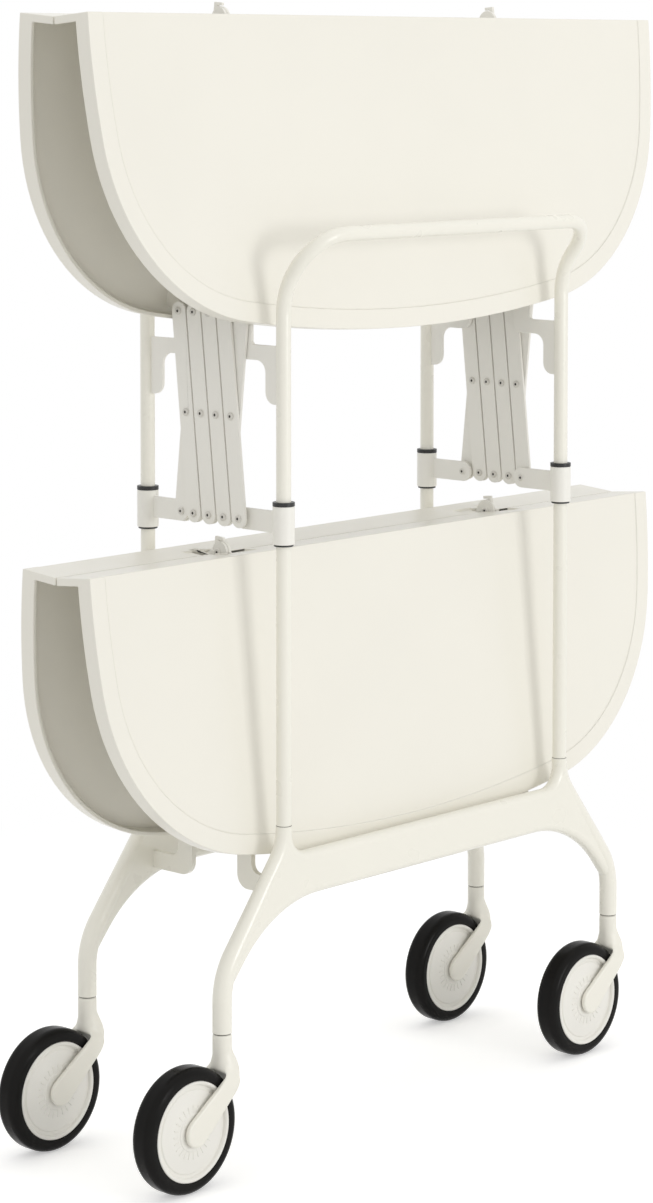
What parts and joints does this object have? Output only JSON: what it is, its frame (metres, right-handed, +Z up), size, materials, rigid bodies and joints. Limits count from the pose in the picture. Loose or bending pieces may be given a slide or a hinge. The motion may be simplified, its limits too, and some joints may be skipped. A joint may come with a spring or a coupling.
{
  "type": "folding room service table",
  "caption": "Folding serving trolley on swivel casters: two round-cornered trays hinged at the seam, scissor links, sliding sleeves and two handle frames, shown folded.",
  "frame": {"origin": "on the floor under the middle of the folded trolley", "axes": "+X along the hinge line of the trays, +Y from the front frame to the rear frame, +Z up"},
  "size_m": [0.738, 0.2454, 0.9703],
  "materials": {
    "tray": "glossy moulded cream plastic",
    "frame_enamel": "gloss cream enamel",
    "metal_parts": "satin cream enamel",
    "rivet": "satin",
    "ring": "matt black",
    "fork": "satin cream plastic",
    "disc": "semi-gloss white plastic",
    "tyre": "matt dark rubber"
  },
  "bodies": {
    "frame_rear": {"base_rear": "frame_enamel", "tube_rear": "frame_enamel", "hanger_rear_left": "metal_parts", "hanger_rear_right": "metal_parts", "pins_rear": "rivet"},
    "frame_front": {"base_front": "frame_enamel", "tube_front": "frame_enamel", "hanger_front_left": "metal_parts", "hanger_front_right": "metal_parts", "pins_front": "rivet"},
    "upper_rear": {"upper_half_rear": "tray", "upper_knuckles_rear": "metal_parts"},
    "upper_front": {"upper_half_front": "tray", "upper_knuckles_front": "metal_parts"},
    "lower_rear": {"lower_half_rear": "tray", "lower_knuckles_rear": "metal_parts"},
    "lower_front": {"lower_half_front": "tray", "lower_knuckles_front": "metal_parts"},
    "bars_rear_1": {"bar_rear_1_left": "metal_parts", "bar_rear_1_right": "metal_parts", "rivets_rear_1": "rivet"},
    "bars_rear_2": {"bar_rear_2_left": "metal_parts", "bar_rear_2_right": "metal_parts"},
    "bars_rear_3": {"bar_rear_3_left": "metal_parts", "bar_rear_3_right": "metal_parts", "rivets_rear_3": "rivet"},
    "bars_rear_4": {"bar_rear_4_left": "metal_parts", "bar_rear_4_right": "metal_parts", "rivets_rear_4": "rivet"},
    "sleeves_rear": {"sleeve_rear_left": "metal_parts", "sleeve_rear_right": "metal_parts", "rings_rear": "ring"},
    "bars_front_1": {"bar_front_1_left": "metal_parts", "bar_front_1_right": "metal_parts", "rivets_front_1": "rivet"},
    "bars_front_2": {"bar_front_2_left": "metal_parts", "bar_front_2_right": "metal_parts"},
    "bars_front_3": {"bar_front_3_left": "metal_parts", "bar_front_3_right": "metal_parts", "rivets_front_3": "rivet"},
    "bars_front_4": {"bar_front_4_left": "metal_parts", "bar_front_4_right": "metal_parts", "rivets_front_4": "rivet"},
    "sleeves_front": {"sleeve_front_left": "metal_parts", "sleeve_front_right": "metal_parts", "rings_front": "ring"},
    "caster_rear_left": {"fork_rear_left": "fork"},
    "roller_rear_left": {"wheel_rear_left": "disc", "tyre_rear_left": "tyre"},
    "caster_rear_right": {"fork_rear_right": "fork"},
    "roller_rear_right": {"wheel_rear_right": "disc", "tyre_rear_right": "tyre"},
    "caster_front_left": {"fork_front_left": "fork"},
    "roller_front_left": {"wheel_front_left": "disc", "tyre_front_left": "tyre"},
    "caster_front_right": {"fork_front_right": "fork"},
    "roller_front_right": {"wheel_front_right": "disc", "tyre_front_right": "tyre"}
  },
  "joints": [
    {"name": "fold", "type": "hinge", "parent": "frame_rear", "child": "upper_rear", "pos_m": [0, 0.0352, 0.7083], "axis": [1, 0, 0], "range_deg": [0, 85]},
    {"name": "upper_seam", "type": "hinge", "parent": "upper_rear", "child": "upper_front", "pos_m": [0, 0, 0.95651], "axis": [1, 0, 0], "range_deg": [-170, 0]},
    {"name": "front_swing", "type": "hinge", "parent": "upper_front", "child": "frame_front", "pos_m": [0, -0.0352, 0.7083], "axis": [1, 0, 0], "range_deg": [0, 85]},
    {"name": "lower_fold", "type": "hinge", "parent": "frame_rear", "child": "lower_rear", "pos_m": [0, 0.0352, 0.2555], "axis": [1, 0, 0], "range_deg": [0, 85]},
    {"name": "lower_seam", "type": "hinge", "parent": "lower_rear", "child": "lower_front", "pos_m": [0, 0, 0.50371], "axis": [1, 0, 0], "range_deg": [-170, 0]},
    {"name": "scissor_rear_1", "type": "hinge", "parent": "frame_rear", "child": "bars_rear_1", "pos_m": [0, 0.0352, 0.7083], "axis": [1, 0, 0], "range_deg": [-40.7, 0]},
    {"name": "scissor_rear_2", "type": "hinge", "parent": "bars_rear_1", "child": "bars_rear_2", "pos_m": [0, 0.0264, 0.62255], "axis": [1, 0, 0], "range_deg": [0, 81.4]},
    {"name": "scissor_rear_3", "type": "hinge", "parent": "bars_rear_2", "child": "bars_rear_3", "pos_m": [0, 0.0176, 0.7083], "axis": [1, 0, 0], "range_deg": [-81.4, 0]},
    {"name": "scissor_rear_4", "type": "hinge", "parent": "bars_rear_3", "child": "bars_rear_4", "pos_m": [0, 0.0088, 0.62255], "axis": [1, 0, 0], "range_deg": [0, 81.4]},
    {"name": "sleeve_rear", "type": "hinge", "parent": "bars_rear_2", "child": "sleeves_rear", "pos_m": [0, 0.0352, 0.5368], "axis": [1, 0, 0], "range_deg": [-40.7, 0]},
    {"name": "scissor_front_1", "type": "hinge", "parent": "frame_front", "child": "bars_front_1", "pos_m": [0, -0.0352, 0.7083], "axis": [1, 0, 0], "range_deg": [0, 40.7]},
    {"name": "scissor_front_2", "type": "hinge", "parent": "bars_front_1", "child": "bars_front_2", "pos_m": [0, -0.0264, 0.62255], "axis": [1, 0, 0], "range_deg": [-81.4, 0]},
    {"name": "scissor_front_3", "type": "hinge", "parent": "bars_front_2", "child": "bars_front_3", "pos_m": [0, -0.0176, 0.7083], "axis": [1, 0, 0], "range_deg": [0, 81.4]},
    {"name": "scissor_front_4", "type": "hinge", "parent": "bars_front_3", "child": "bars_front_4", "pos_m": [0, -0.0088, 0.62255], "axis": [1, 0, 0], "range_deg": [-81.4, 0]},
    {"name": "sleeve_front", "type": "hinge", "parent": "bars_front_2", "child": "sleeves_front", "pos_m": [0, -0.0352, 0.5368], "axis": [1, 0, 0], "range_deg": [0, 40.7]},
    {"name": "swivel_rear_left", "type": "hinge", "parent": "frame_rear", "child": "caster_rear_left", "pos_m": [-0.2597, 0.0803, 0.1225], "axis": [0, 0, 1], "continuous": true},
    {"name": "spin_rear_left", "type": "hinge", "parent": "caster_rear_left", "child": "roller_rear_left", "pos_m": [-0.3039, 0.0803, 0.052], "axis": [0, 1, 0], "continuous": true},
    {"name": "swivel_rear_right", "type": "hinge", "parent": "frame_rear", "child": "caster_rear_right", "pos_m": [0.2597, 0.0803, 0.1225], "axis": [0, 0, 1], "continuous": true},
    {"name": "spin_rear_right", "type": "hinge", "parent": "caster_rear_right", "child": "roller_rear_right", "pos_m": [0.2155, 0.0803, 0.052], "axis": [0, 1, 0], "continuous": true},
    {"name": "swivel_front_left", "type": "hinge", "parent": "frame_front", "child": "caster_front_left", "pos_m": [-0.2597, -0.0803, 0.1225], "axis": [0, 0, 1], "continuous": true},
    {"name": "spin_front_left", "type": "hinge", "parent": "caster_front_left", "child": "roller_front_left", "pos_m": [-0.3039, -0.0803, 0.052], "axis": [0, 1, 0], "continuous": true},
    {"name": "swivel_front_right", "type": "hinge", "parent": "frame_front", "child": "caster_front_right", "pos_m": [0.2597, -0.0803, 0.1225], "axis": [0, 0, 1], "continuous": true},
    {"name": "spin_front_right", "type": "hinge", "parent": "caster_front_right", "child": "roller_front_right", "pos_m": [0.2155, -0.0803, 0.052], "axis": [0, 1, 0], "continuous": true}
  ],
  "couplings": [
    {"joint": "upper_seam", "follows": "fold", "ratio": -2},
    {"joint": "front_swing", "follows": "fold", "ratio": 1},
    {"joint": "lower_fold", "follows": "fold", "ratio": 1},
    {"joint": "lower_seam", "follows": "fold", "ratio": -2},
    {"joint": "scissor_rear_1", "follows": "fold", "ratio": -0.47877},
    {"joint": "scissor_rear_2", "follows": "fold", "ratio": 0.95754},
    {"joint": "scissor_rear_3", "follows": "fold", "ratio": -0.95754},
    {"joint": "scissor_rear_4", "follows": "fold", "ratio": 0.95754},
    {"joint": "sleeve_rear", "follows": "fold", "ratio": -0.47877},
    {"joint": "scissor_front_1", "follows": "fold", "ratio": 0.47877},
    {"joint": "scissor_front_2", "follows": "fold", "ratio": -0.95754},
    {"joint": "scissor_front_3", "follows": "fold", "ratio": 0.95754},
    {"joint": "scissor_front_4", "follows": "fold", "ratio": -0.95754},
    {"joint": "sleeve_front", "follows": "fold", "ratio": 0.47877}
  ]
}
